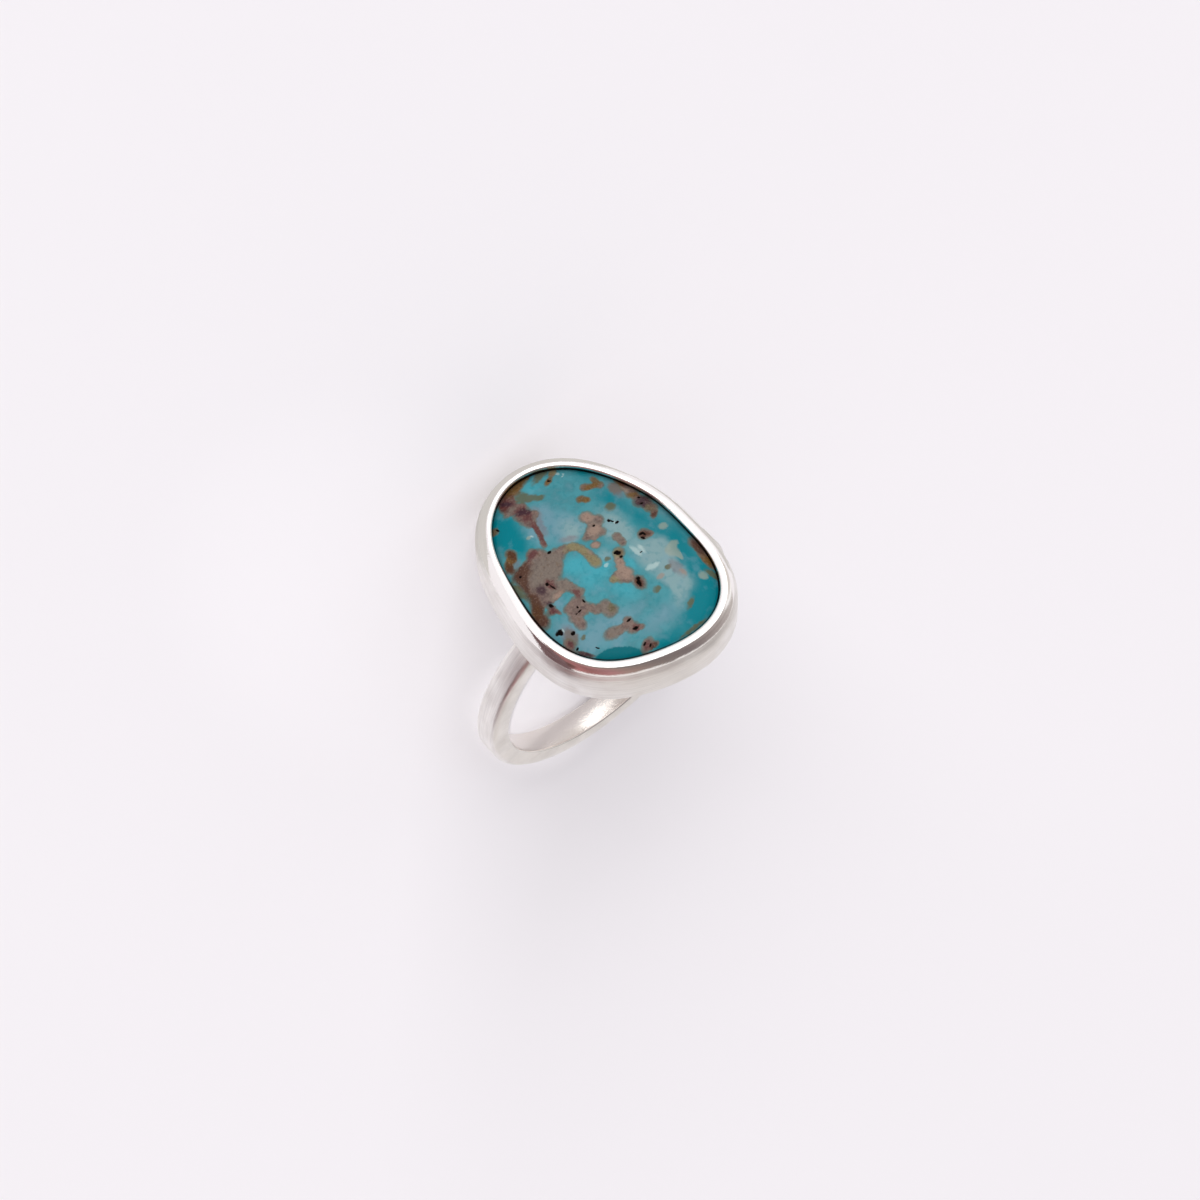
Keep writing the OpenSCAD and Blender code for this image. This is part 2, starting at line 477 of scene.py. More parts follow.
ROCK = (
    # At the top and down the dark vein
    (1.1, -7.2, 0.5, 0.42), (0.4, -7.5, 0.6, 0.4), (-0.25, -7.65, 0.4, 0.26), (1.95, -7.0, 0.42, 0.5),
    (2.15, -6.45, 0.36, 0.32), (1.7, -6.5, 0.26, 0.36), (2.1, -6.0, 0.5, 0.22),
    (1.45, -5.8, 0.22, 0.2), (1.8, -5.4, 0.46, 0.36), (1.75, -4.85, 0.46, 0.34),
    (1.85, -4.4, 0.3, 0.26), (1.25, -4.75, 0.2, 0.22), (1.85, -3.9, 0.15, 0.36, -10),
    (2.0, -3.3, 0.15, 0.36, -15), (2.2, -2.75, 0.15, 0.28, -10),
    # Down the left side
    (4.15, -3.6, 0.26, 0.38), (4.5, -3.3, 0.32, 0.26), (4.8, -2.95, 0.2, 0.26),
    (4.6, -2.2, 0.45, 0.34), (3.9, -2.35, 0.4, 0.24), (3.25, -2.7, 0.3, 0.26, 30),
    (2.9, -2.3, 0.36, 0.34), (4.7, -1.5, 0.4, 0.4), (3.9, -1.6, 0.6, 0.5), (3.0, -1.5, 0.6, 0.5),
    (2.2, -1.5, 0.5, 0.42), (4.8, -0.6, 0.46, 0.5), (3.9, -0.6, 0.55, 0.5), (3.1, -0.7, 0.45, 0.4),
    (2.6, -0.9, 0.3, 0.24), (5.3, 0.2, 0.3, 0.4), (4.6, 0.3, 0.45, 0.36), (3.8, 0.25, 0.5, 0.36),
    (3.15, 0.35, 0.36, 0.36), (4.1, 0.55, 0.3, 0.2), (5.6, 1.0, 0.36, 0.6), (4.75, 1.1, 0.26, 0.26),
    (4.55, 1.45, 0.1, 0.2), (2.9, 0.9, 0.26, 0.32), (2.75, 1.35, 0.26, 0.22), (3.9, 1.75, 0.34, 0.26),
    (3.3, 1.8, 0.42, 0.36), (3.9, 2.35, 0.4, 0.36), (3.2, 2.45, 0.4, 0.3), (4.05, 3.0, 0.28, 0.36),
    (2.75, 2.9, 0.26, 0.3), (2.2, 3.1, 0.36, 0.3), (2.1, 3.6, 0.4, 0.32),
    # The arch
    (1.5, -1.5, 0.36, 0.24, -20), (1.0, -1.25, 0.26, 0.26), (0.75, -0.8, 0.24, 0.3),
    (0.68, -0.2, 0.26, 0.36), (0.68, 0.45, 0.3, 0.38),
    # Islands of the middle
    (-0.95, -2.4, 0.36, 0.3), (-1.05, -1.9, 0.3, 0.24), (-1.35, -1.75, 0.36, 0.34),
    (-0.75, -1.45, 0.42, 0.28), (-0.2, -1.2, 0.38, 0.24), (-0.95, -0.95, 0.3, 0.28),
    (-0.4, -0.85, 0.2, 0.14), (-0.12, -0.42, 0.25, 0.2, -15), (-1.5, 0.0, 0.25, 0.26),
    (-1.5, 0.45, 0.22, 0.26), (-0.85, 0.9, 0.32, 0.3), (-0.5, 1.3, 0.22, 0.22),
    (-0.35, 1.65, 0.26, 0.2), (0.1, 2.0, 0.4, 0.2), (-0.3, 2.3, 0.36, 0.32), (0.2, 2.4, 0.3, 0.24),
    (0.65, 2.1, 0.2, 0.2), (-0.1, 2.75, 0.26, 0.16), (-0.5, 3.3, 0.32, 0.42),
    (2.95, 4.75, 0.46, 0.3, -10), (2.35, 4.9, 0.34, 0.2), (1.75, 4.8, 0.28, 0.24),
    (1.75, 5.3, 0.36, 0.26), (1.4, 5.55, 0.22, 0.14, -20), (1.75, 6.65, 0.44, 0.26, 20),
    (1.45, 6.9, 0.3, 0.14), (-2.95, 0.85, 0.36, 0.3), (-3.3, 1.05, 0.2, 0.16),
    (-2.4, -4.2, 0.26, 0.24), (-2.8, -4.0, 0.3, 0.18), (-3.25, -3.85, 0.26, 0.24),
    (-3.3, -4.35, 0.2, 0.26), (-1.6, -3.65, 0.25, 0.2), (-1.85, -3.35, 0.2, 0.18),
    (-1.0, -6.1, 0.3, 0.16, 20), (-1.7, -6.55, 0.36, 0.2, 35),
    # Down the right side
    (-4.6, -3.4, 0.26, 0.4), (-4.6, -2.7, 0.36, 0.36), (-4.5, -2.0, 0.4, 0.36),
    (-4.6, -1.2, 0.55, 0.36), (-4.7, -0.5, 0.4, 0.34), (-4.5, 0.05, 0.3, 0.16, 25),
    (-5.2, 3.3, 0.36, 0.5), (-5.1, 4.1, 0.3, 0.5), (-5.0, 4.9, 0.26, 0.5, 15), (5.4, 3.5, 0.26, 0.36),
    (5.05, 4.55, 0.1, 0.5, 35), (3.8, -5.7, 0.24, 0.22),
)
TINTS = {
    "ash": (
        (2.6, -1.4, 1.0, 0.7), (3.9, -1.2, 0.8, 0.7), (3.0, -0.1, 0.6, 0.7), (3.8, 0.7, 0.6, 0.5),
        (2.2, 3.4, 0.8, 0.8), (2.1, -6.0, 0.4, 0.2), (3.0, 1.0, 0.5, 0.4), (1.7, -4.5, 0.4, 0.3),
        (-5.0, 3.7, 0.3, 0.4), (-0.9, -2.4, 0.5, 0.5), (-0.8, -1.3, 0.7, 0.5), (2.9, 4.8, 0.5, 0.4),
        (2.9, 1.1, 0.4, 0.5), (-4.3, -2.9, 0.4, 0.5), (-1.5, 0.2, 0.3, 0.4),
    ),
    "olive": (
        (-1.75, -3.6, 0.5, 0.3), (-3.3, -4.2, 0.4, 0.4), (2.0, 3.5, 0.3, 0.3), (3.8, -5.7, 0.4, 0.4),
        (-4.5, -0.5, 0.5, 0.3), (1.5, -1.1, 0.3, 0.2), (5.3, -0.7, 0.2, 0.6), (-4.0, -2.6, 0.3, 0.4),
    ),
    "sand": (
        (1.0, -1.3, 0.5, 0.5), (0.7, -0.3, 0.4, 1.0), (0.7, 0.6, 0.4, 0.5), (0.6, 2.1, 0.35, 0.4),
        (-0.6, 0.9, 0.6, 0.5), (-1.7, -6.6, 0.5, 0.4),
    ),
    "tan": (
        (-0.25, 2.2, 0.5, 0.6), (-0.4, 1.5, 0.3, 0.4), (-0.1, -0.4, 0.4, 0.3),
        (-0.95, -2.45, 0.55, 0.5), (-0.7, -1.3, 0.5, 0.35), (-4.3, -2.7, 0.2, 0.4),
        (3.8, 0.6, 0.3, 0.2),
    ),
    "ochre": (
        (0.8, -7.3, 0.9, 0.7), (-0.1, -7.6, 0.6, 0.4), (4.4, -3.4, 0.7, 0.6), (-2.8, -4.05, 0.7, 0.3),
        (-1.7, -3.4, 0.45, 0.3), (-1.0, -6.1, 0.5, 0.4), (-4.9, 4.7, 0.4, 0.6),
        (-4.3, -1.95, 0.4, 0.3), (5.5, 0.5, 0.4, 0.4), (-4.6, -3.3, 0.3, 0.4),
    ),
    "brown": (
        (4.5, -2.2, 0.7, 0.5), (5.55, 1.05, 0.7, 0.8), (5.2, -0.3, 0.4, 0.7), (4.1, -3.5, 0.25, 0.35),
        (2.3, -6.5, 0.3, 0.4), (-0.5, 3.3, 0.3, 0.4), (-2.9, 0.85, 0.3, 0.3), (-5.1, 3.4, 0.4, 0.6),
        (-4.6, 0.1, 0.5, 0.3), (4.8, -2.9, 0.4, 0.4), (-0.8, 0.95, 0.2, 0.25), (4.9, -1.4, 0.3, 0.4),
        (1.45, 6.9, 0.3, 0.2), (-5.0, -2.4, 0.2, 0.5),
    ),
    "maroon": (
        (1.9, -6.75, 0.6, 0.7), (1.8, -5.5, 0.5, 0.25), (1.8, -4.9, 0.35, 0.3),
        (2.0, -3.6, 0.3, 1.0, -10), (3.3, -2.65, 0.5, 0.25, 20), (4.75, 1.2, 0.36, 0.36),
        (3.75, -0.3, 0.25, 0.4, 10), (1.65, 5.4, 0.3, 0.2), (1.8, 6.6, 0.36, 0.2, 20),
        (-4.8, -3.1, 0.3, 0.4), (3.0, 1.3, 0.2, 0.4), (5.3, 3.5, 0.2, 0.3),
    ),
    "purple": (
        (-4.8, -1.2, 0.8, 0.5), (1.9, -6.6, 0.22, 0.4, 20), (1.6, -5.25, 0.3, 0.2),
        (4.4, -0.3, 0.25, 0.4), (4.55, 0.75, 0.15, 0.3, 20), (5.05, 4.55, 0.3, 0.6, 35),
        (1.9, -5.5, 0.3, 0.15), (-4.3, -1.0, 0.3, 0.2),
    ),
}
THIN = {
    "wedge": ((3.6, 6.2, 1.45, 0.6, -33),),
    "olive": (
        (0.6, -5.8, 0.3, 0.22), (0.2, -5.45, 0.3, 0.16), (1.0, -6.3, 0.4, 0.4),
        (-2.65, -2.0, 0.32, 0.26), (-1.0, 4.35, 0.25, 0.2), (-2.1, 6.3, 0.4, 0.15, 25),
        (4.5, 3.75, 0.15, 0.12), (-3.9, -3.0, 0.4, 0.5), (5.35, -1.6, 0.2, 0.7),
        (-1.2, -7.0, 0.9, 0.25, 20), (0.0, 0.8, 0.2, 0.12), (-4.6, 5.6, 0.2, 0.5, 20),
        (-2.6, 3.6, 0.2, 0.14), (5.0, 3.2, 0.3, 0.5), (-1.1, 7.6, 0.9, 0.1),
    ),
    "cream": (
        (-3.55, 2.85, 0.36, 0.36), (-4.0, 2.5, 0.3, 0.2), (-3.7, 3.4, 0.14, 0.26),
        (-4.0, 5.3, 0.26, 0.24), (-4.35, 1.1, 0.26, 0.2), (-1.8, -6.7, 0.26, 0.14, 35),
        (4.7, -0.9, 0.16, 0.1, 20), (-0.02, -0.52, 0.12, 0.06, -20), (2.6, -3.7, 0.14, 0.1),
    ),
    "veil": (
        (1.3, -4.7, 0.4, 0.5), (1.6, -3.7, 0.25, 0.6, -10), (-3.9, -2.9, 0.4, 0.7),
        (5.0, 3.0, 0.4, 0.6), (0.9, -1.9, 0.5, 0.2, -30), (-3.0, 4.0, 0.3, 0.6), (4.6, -2.9, 0.5, 0.3),
    ),
    "tan": ((-1.8, 3.8, 0.24, 0.14), (-3.1, 4.45, 0.16, 0.26, 15), (0.75, -0.45, 0.16, 0.1)),
    # The spots at (-2.1, -0.95), (1.64, 4.9), (-0.3, 3.05) and (5.12, 2.55) are painted highlights,
    # glints on the lit walls of pits. The others are whitish spots and streaks.
    "chalk": (
        (-2.1, -0.95, 0.07, 0.07), (1.64, 4.9, 0.08, 0.04), (0.3, 1.1, 0.13, 0.1),
        (-1.6, 2.9, 0.25, 0.12, 15), (-2.0, 3.05, 0.3, 0.14), (-1.85, -6.25, 0.08, 0.13, 40),
        (-0.3, 3.05, 0.04, 0.1, 20), (5.12, 2.55, 0.05, 0.12), (-1.75, 1.5, 0.14, 0.4, 5),
        (-2.15, 1.6, 0.14, 0.3, 5), (2.4, -3.65, 0.06, 0.1, 20), (-2.1, -6.0, 0.06, 0.05),
        (-1.95, -5.85, 0.1, 0.04, 20),
    ),
}
PITS = (
    (-0.73, 0.8, 0.15, 0.1), (-0.82, 0.95, 0.15, 0.08), (-0.77, 1.23, 0.1, 0.06),
    (-2.85, 0.74, 0.17, 0.07), (-2.98, 0.87, 0.06, 0.12), (-2.72, 1.05, 0.07, 0.13, 30),
    (5.37, 2.43, 0.2, 0.12), (5.3, 2.58, 0.1, 0.1), (4.78, 3.1, 0.12, 0.1), (-0.6, 3.05, 0.11, 0.1),
    (-0.46, 3.28, 0.12, 0.12), (-0.42, 3.46, 0.06, 0.1), (1.65, 4.78, 0.15, 0.06),
    (1.66, 5.42, 0.17, 0.08, -15), (-1.07, -6.13, 0.1, 0.08), (2.37, -2.0, 0.12, 0.08),
    (4.67, -2.08, 0.08, 0.06), (-0.93, -1.58, 0.09, 0.06), (-1.9, -1.27, 0.09, 0.09),
    (-2.2, -0.84, 0.12, 0.07), (-2.02, -1.08, 0.05, 0.1, 30), (3.85, -0.45, 0.09, 0.1),
    (3.74, -0.05, 0.05, 0.2, 10), (4.6, 0.8, 0.08, 0.16, 20), (3.5, 2.05, 0.05, 0.08),
    (3.56, 2.33, 0.12, 0.05), (3.82, 2.33, 0.06, 0.04), (2.95, 2.0, 0.05, 0.12),
    (1.62, 6.78, 0.12, 0.05, 30), (1.85, 6.5, 0.12, 0.05, 20), (5.2, 4.0, 0.08, 0.06),
    (-4.6, -1.55, 0.08, 0.07), (-4.4, -1.05, 0.12, 0.06), (3.57, -5.62, 0.05, 0.13, 10),
    (4.25, 4.82, 0.04, 0.12, 30), (-1.95, 1.76, 0.09, 0.03),
)
# An oval's field falls from 1 at its middle to 0 at this many times its size. Fields add up, so
# that neighbours flow together, and an island ends where they come to EDGE_FIELD.
REACH = 1.68
CLOUD_REACH = 2.2
EDGE_FIELD = 0.32


def turquoise_polished(colours):
    """Natural turquoise, cut and polished: waxy blue green with soft clouds, and brown and mauve
    host rock that shows as ragged islands with open black pits."""
    material, add, ring_mm = new_material("turquoise_polished")
    flat = add("VectorMath", {0: ring_mm, 1: (1, 1, 0)}, operation="MULTIPLY")
    # Clouds in the blue are about a millimetre across, veins of the rock 0.4 mm, its blotches
    # 0.25 mm and its grain 0.12 mm
    mottle, vein, blotch, grain = (
        add("TexNoise", {"Vector": ring_mm, "Scale": scale, "Detail": 5.0})
        for scale in (1.1, 2.6, 4.2, 8.0)
    )

    def wander(vector, scale, amount):
        """Moves the pattern about, by up to half the amount in millimetres, with a noise."""
        noise = add("TexNoise", {"Vector": ring_mm, "Scale": scale, "Detail": 3.0}).outputs[1]
        noise = add("VectorMath", {0: noise, 1: (0.5, 0.5, 0.5)}, operation="SUBTRACT")
        return add("VectorMath", {0: noise, 1: (amount, amount, 0), 2: vector}, operation="MULTIPLY_ADD")

    def field(vector, rows, reach=REACH):
        """The sum of the charted ovals' fields."""
        total = 0.0
        for across, along, half_w, half_h, *turn in rows:
            place = {
                "Vector": vector,
                "Location": (across, along, 0),
                "Rotation": (0, 0, math.radians(sum(turn))),
                "Scale": (half_w * reach, half_h * reach, 1),
            }
            oval = add("Mapping", place, vector_type="TEXTURE")
            inside = add("TexGradient", {"Vector": oval}, gradient_type="SPHERICAL").outputs[1]
            total = add("Math", {0: inside, 1: total}, operation="ADD")
        return total

    def coat(below, above, here, low, high, strength=1.0):
        """Lays one colour over another where a field rises from its low to its high value."""
        rise = {"Value": here, "From Min": low, "From Max": high, "To Max": strength}
        cover = add("MapRange", rise, interpolation_type="SMOOTHSTEP")
        return add("Mix", {"Factor": cover, "A": below, "B": above}, data_type="RGBA")

    def shade(kind, amount=1.0):
        return rgba(getattr(colours, kind), amount)

    drift = wander(wander(flat, 0.5, 0.7), 2.0, 0.3)
    ragged = wander(wander(wander(flat, 1.5, 0.18), 5.0, 0.14), 14.0, 0.07)

    skin = coat(shade("body", 0.9), shade("body", 1.12), mottle, 0.35, 0.65)
    # Some pale ovals are a painted reflection, the dome's sheen
    for kind, strength in (("deep", 1.0), ("bright", 0.8), ("haze", 0.8), ("pale", 0.9)):
        skin = coat(skin, shade(kind), field(drift, CLOUDS[kind], CLOUD_REACH), 0, 1.15, strength)
    # The blue is mottled with deeper veins and hazy patches
    skin = coat(skin, shade("deep"), vein, 0.48, 0.72, 0.3)
    skin = coat(skin, shade("haze", 1.15), mottle, 0.5, 0.28, 0.3)
    # The healed fracture ends sharply. The other thin spots fade, and veins break them up.
    patches = add("Math", {0: vein, 1: 2.0}, operation="MULTIPLY")
    for kind, strength, softness in (
        ("wedge", 1.0, 0.06), ("olive", 0.8, 0.26), ("veil", 0.5, 0.3), ("cream", 0.6, 0.26),
        ("tan", 0.6, 0.2), ("chalk", 0.5, 0.3),
    ):
        here = field(ragged, THIN[kind])
        if kind != "wedge":
            here = add("Math", {0: here, 1: patches}, operation="MULTIPLY")
        skin = coat(skin, shade(kind), here, EDGE_FIELD - softness, EDGE_FIELD + softness, strength)

    rock = coat(shade("mauve", 0.85), shade("mauve", 1.2), vein, 0.38, 0.62)
    rock = coat(rock, shade("tan"), blotch, 0.5, 0.28, 0.4)
    for kind, strength in (
        ("ash", 0.9), ("olive", 0.7), ("sand", 0.9), ("tan", 0.9), ("ochre", 0.95), ("brown", 0.85),
        ("maroon", 0.75), ("purple", 0.85),
    ):
        # Veins move the tint's edge, so that it is ragged
        veined = add("Math", {0: vein, 1: 0.9, 2: field(drift, TINTS[kind])}, operation="MULTIPLY_ADD")
        rock = coat(rock, shade(kind), veined, 0.5, 1.2, strength)
    rock = coat(rock, shade("purple"), blotch, 0.48, 0.75, 0.35)
    rock = coat(rock, shade("tan"), grain, 0.5, 0.3, 0.25)
    rock = coat(rock, shade("maroon", 0.8), grain, 0.5, 0.75, 0.2)

    # Iron stain creeps a little way out of the rock into the blue
    rocky = field(ragged, ROCK)
    skin = coat(skin, shade("olive"), rocky, 0.04, EDGE_FIELD, 0.5)
    skin = coat(skin, rock, rocky, EDGE_FIELD - 0.22, EDGE_FIELD + 0.3, 0.97)
    hollow = field(wander(flat, 8.0, 0.08), PITS)
    skin = coat(skin, shade("brown", 0.6), hollow, 0.1, EDGE_FIELD, 0.5)
    skin = coat(skin, shade("pit"), hollow, EDGE_FIELD - 0.08, EDGE_FIELD + 0.08)

    # Painted shade: the lip's shadow and the dark gap under it, laid on as black a little way in from
    # under the lip
    lip_shade = add("Attribute", attribute_name="past_lip_mm").outputs["Fac"]
    skin = coat(skin, shade("pit"), lip_shade, -0.12, -0.04)

    # Rock takes a poorer polish than turquoise, and a pit none
    rough = colours.polish
    for here, roughest in ((rocky, colours.polish + 0.12), (hollow, 0.8)):
        worn = {"Value": here, "From Min": 0.3, "From Max": 0.45, "To Min": rough, "To Max": roughest}
        rough = add("MapRange", worn)
    relief = add("Bump", {"Height": vein, "Strength": 0.4, "Distance": 0.00004})
    look = {"Base Color": skin, "Roughness": rough, "IOR": 1.61, "Specular IOR Level": 0.06}
    return close_material(material, "BsdfPrincipled", {**look, "Normal": relief})


# Pieces

SATIN_WALL, SATIN_BAND, POLISHED, INSIDE, SEAM = range(5)

# How the rim rises from the top of the satin wall over its crest to the opening's edge
# columns: distance out from the opening's edge as a share of the rim's width, height in millimetres
RIM_STEPS = (
    (1.0, -1.45), (0.992, -1.25), (0.967, -1.05), (0.93, -0.87), (0.887, -0.75), (0.838, -0.625),
    (0.788, -0.475), (0.735, -0.33), (0.68, -0.205), (0.628, -0.1), (0.58, -0.02), (0.535, 0.04),
    (0.48, 0.085), (0.41, 0.12), (0.32, 0.143), (0.22, 0.15), (0.15, 0.138), (0.08, 0.11),
    (0.03, 0.07), (0.0, 0.0),
)
SATIN_LINE_MM = -0.475
CREST_MM = 0.15
# The lip widens below its upright face, and the seam's dark tarnish and painted shade reach this far out
# under it
UNDERCUT = 1.055
SEAM_OUT_MM = 0.55
SEAM_TOP_MM = -0.04
# The buffed inner side of the band ends this far up its rounded edges
BUFFED_MM = 0.06


class RING_OT_silver(bpy.types.Operator):
    """Model the soldered silver: the cup with its lip, and the band"""

    bl_idname = "ring.silver"
    bl_label = "Silver Ring"

    def model_band(self, size, bore_r, foot):
        """Sweeps the band's section round the finger, and files it flat where the cup sits."""
        start_clean()
        middle, half_t = bore_r + size["band_t"] / 2, size["band_t"] / 2
        bpy.ops.mesh.primitive_plane_add(size=1, location=(middle, 0, 0))
        band = bpy.context.object
        band.name = band.data.name = "band"
        band.scale = (size["band_t"], size["band_w"], 1)
        bpy.ops.object.transform_apply(location=True, rotation=True, scale=True)
        bpy.ops.object.mode_set(mode="EDIT")
        for side, radius, steps in ((1, size["outer_edge_r"], 6), (-1, size["inner_edge_r"], 3)):
            pick(band, "VERT", lambda p: side * (p[0].x - middle) > half_t - TINY_MM)
            bpy.ops.mesh.bevel(affect="VERTICES", offset=radius, segments=steps, offset_type="OFFSET")
        on_all(bpy.ops.mesh.delete, type="ONLY_FACE")
        on_all(bpy.ops.mesh.spin, steps=BAND_STEPS, angle=math.tau, center=(0, 0, 0), axis=(0, 1, 0))
        on_all(bpy.ops.mesh.remove_doubles, threshold=0.001)
        on_all(bpy.ops.mesh.normals_make_consistent, inside=False)
        seat = foot + size["plate_t"] / 2
        bpy.ops.mesh.bisect(plane_co=(0, 0, seat), plane_no=(0, 0, 1), use_fill=True, clear_outer=True)
        finish_faces(band, SATIN_BAND, lambda p: True)
        buffed_r = bore_r + BUFFED_MM
        finish_faces(band, INSIDE, lambda p: all(math.hypot(q.x, q.z) < buffed_r for q in p))
        bpy.ops.object.mode_set(mode="OBJECT")
        return band

    def model_cup(self, size, foot):
        """Raises the cup's wall from its foot, over the lip and down to the floor inside."""
        edge = foot + size["cup_h"]
        cup = outline_plate("silver_ring_dressed", size["rim_w"], foot)
        out, up = size["rim_w"], RIM_STEPS[0][1]
        raise_face(size["cup_h"] + up)
        for share_out, next_up in RIM_STEPS[1:]:
            next_out = share_out * size["rim_w"]
            bpy.ops.mesh.inset(
                thickness=out - next_out, depth=next_up - up, use_boundary=True, use_even_offset=True
            )
            out, up = next_out, next_up
        raise_face(-size["lip_face"])
        raise_face(-size["lip_slope"], grow=UNDERCUT)
        raise_face(size["plate_t"] - size["cup_h"] + size["lip_face"] + size["lip_slope"])
        on_all(bpy.ops.mesh.normals_make_consistent, inside=False)
        top, satin_line = edge + CREST_MM, edge + SATIN_LINE_MM
        # columns: height of an edge, width and steps of its rounding
        for height, width, steps in (
            (edge, 0.05, 3), (top, 0.05, 3), (satin_line, 0.03, 2), (foot, size["foot_edge"], 5),
        ):
            pick(cup, "EDGE", level(height))
            bpy.ops.mesh.bevel(offset=width, segments=steps, offset_type="OFFSET", profile=0.5)
        polish_from = satin_line - 2 * TINY_MM
        finish_faces(cup, POLISHED, lambda p: all(polish_from < q.z < top for q in p))
        finish_faces(
            cup,
            SEAM,
            lambda p: any(q.z > foot + size["plate_t"] - TINY_MM for q in p)
            and all(q.z < edge + SEAM_TOP_MM and inside_opening(q, SEAM_OUT_MM) for q in p),
        )
        bpy.ops.object.mode_set(mode="OBJECT")
        return cup

    def execute(self, context):
        size = in_mm(context.scene.ring_sizes)
        finish = context.scene.silver_finish
        bore_r = size["finger_d"] / 2
        foot = bore_r + size["band_t"] - size["band_seat"]
        band = self.model_band(size, bore_r, foot)
        cup = self.model_cup(size, foot)
        make_active(cup)
        apply_modifier(cup, "BOOLEAN", operation="UNION", object=band, solver="EXACT")
        bpy.data.objects.remove(band)
        for material in (
            silver_satin(finish, "silver_satin_wall", (0.35, 0.35, 9.0)),
            silver_satin(finish, "silver_satin_band", (0.35, 9.0, 0.35)),
            silver_polished("silver_polished_lip", finish.silver, finish.polish_roughness, 0.12),
            # The inside colour is darkened as painted shade, for the shaded floor that it mirrors
            silver_polished("silver_buffed_inside", finish.inside, finish.inside_roughness, 0.3),
            silver_tarnish_and_shade(finish),
        ):
            cup.data.materials.append(material)
        settle(cup, "silver_ring", smooth_deg=32)
        return {"FINISHED"}


# The painted shade along the lip is wider toward this side of the stone
LIP_SHADE_SIDE = Vector((0.64, 0.77))
LIP_SHADE_ASIDE_MM = 0.13
# A pit is pressed as a dent of this many times its half width, and this many times that deep.
# The faces near it are made finer first.
DENT_WIDTH = 1.3
DENT_DEPTH = 1.3
NEAR_PIT_MM = 0.15


class RING_OT_stone(bpy.types.Operator):
    """Model the turquoise cabochon: girdle, flat back, pitted dome"""

    bl_idname = "ring.stone"
    bl_label = "Turquoise Stone"

    @staticmethod
    def press(stone, place, girdle, radius):
        """Presses a round dent into the dome."""
        mesh = bmesh.from_edit_mesh(stone.data)
        dome = (v for v in mesh.verts if v.co.z > girdle)
        nearest = min(dome, key=lambda v: (v.co.xy - place).length_squared)
        at = nearest.co.copy()
        pick(stone, "VERT", lambda p: p[0] == at)
        bpy.ops.transform.translate(
            value=(0, 0, -DENT_DEPTH * radius),
            use_proportional_edit=True,
            proportional_edit_falloff="SPHERE",
            proportional_size=radius,
        )

    def execute(self, context):
        size = in_mm(context.scene.stone_sizes)
        ring = in_mm(context.scene.ring_sizes)
        foot = ring["finger_d"] / 2 + ring["band_t"] - ring["band_seat"]
        back = foot + ring["plate_t"] + size["stone_gap"]
        girdle = foot + ring["cup_h"] - size["girdle_down"]
        stone = outline_plate("turquoise_stone_dressed", size["girdle_out"], back)
        raise_face(girdle - back)
        width, up = 1, 0
        for k in range(1, DOME_RINGS):
            angle = math.radians(90) * k / DOME_RINGS
            next_width, next_up = math.cos(angle), size["dome_h"] * math.sin(angle)
            raise_face(next_up - up, grow=next_width / width)
            width, up = next_width, next_up
        bpy.ops.mesh.merge(type="CENTER")
        on_all(bpy.ops.mesh.normals_make_consistent, inside=False)
        pick(stone, "EDGE", level(back))
        bpy.ops.mesh.bevel(offset=size["back_bevel"], segments=3, offset_type="OFFSET")
        pick(stone, "FACE", lambda p: min(q.z for q in p) > girdle - TINY_MM)
        bpy.ops.mesh.subdivide(number_cuts=1, smoothness=1)
        pick(
            stone,
            "FACE",
            lambda p: p[0].z > girdle
            and any((p[0].xy - Vector(pit[:2])).length < max(pit[2:4]) + NEAR_PIT_MM for pit in PITS),
        )
        bpy.ops.mesh.subdivide(number_cuts=2)
        for across, along, half_w, half_h, *_ in PITS:
            self.press(stone, Vector((across, along)), girdle, DENT_WIDTH * min(half_w, half_h))
        bpy.ops.object.mode_set(mode="OBJECT")
        # The distance past the lip's edge masks the painted shade along the lip
        past = stone.data.attributes.new("past_lip_mm", "FLOAT", "POINT")
        for vertex in stone.data.vertices:
            from_centre = vertex.co.xy - OPENING_CENTRE
            edge = opening_radius(side_angle(vertex.co))
            aside = LIP_SHADE_ASIDE_MM * from_centre.normalized().dot(LIP_SHADE_SIDE)
            past.data[vertex.index].value = from_centre.length - edge + aside
        stone.data.materials.append(turquoise_polished(context.scene.stone_colours))
        settle(stone, "turquoise_stone", smooth_deg=40)
        return {"FINISHED"}


# What the polished metal mirrors: a dusky arc that stands on the horizon at +X, rises over +Y and
# comes down at -X. Its directions keep between two angles from a pole.
DUSK_POLE = Vector((0.145, 0.975, -0.17))
DUSK_START = Vector((0.986, 0.185, 0.005))
# columns: cosine of the angle from DUSK_START, colour
DUSK_TONES = (
    (-0.75, "#cac2c0"), (-0.52, "#aca2a1"), (-0.3, "#9a908f"), (0.0, "#7a6f70"), (0.2, "#807573"),
    (0.33, "#8c7d78"), (0.5, "#a0867f"), (0.7, "#b07c7e"), (0.9, "#9a6463"), (0.965, "#b47374"),
    (0.99, "#6a4744"), (1.0, "#5c3c3c"),
)
# Glowing cards that only the metal mirrors, as painted reflections. The dusky one stands beside the ring
# # at +X, under the arc. The grey ones lie before the ring and at its -X side, where the lip's outer
# # slope looks, and paint the reflection of the floor in the ring's shade.
# columns: name, middle in metres, size in metres, turn about Y in degrees, dark and light colour
CARDS = (
    ("dusky_card", (0.033, -0.002, 0.0075), (0.015, 0.05, 1), -90, "#4c3034", "#8a7274"),
    ("grey_card", (-0.002, -0.017, 0.0001), (0.024, 0.018, 1), 0, "#c8c4c2", "#d6d2d0"),
    ("side_card", (-0.026, 0.001, 0.0001), (0.028, 0.026, 1), 0, "#c8c4c2", "#d6d2d0"),
)
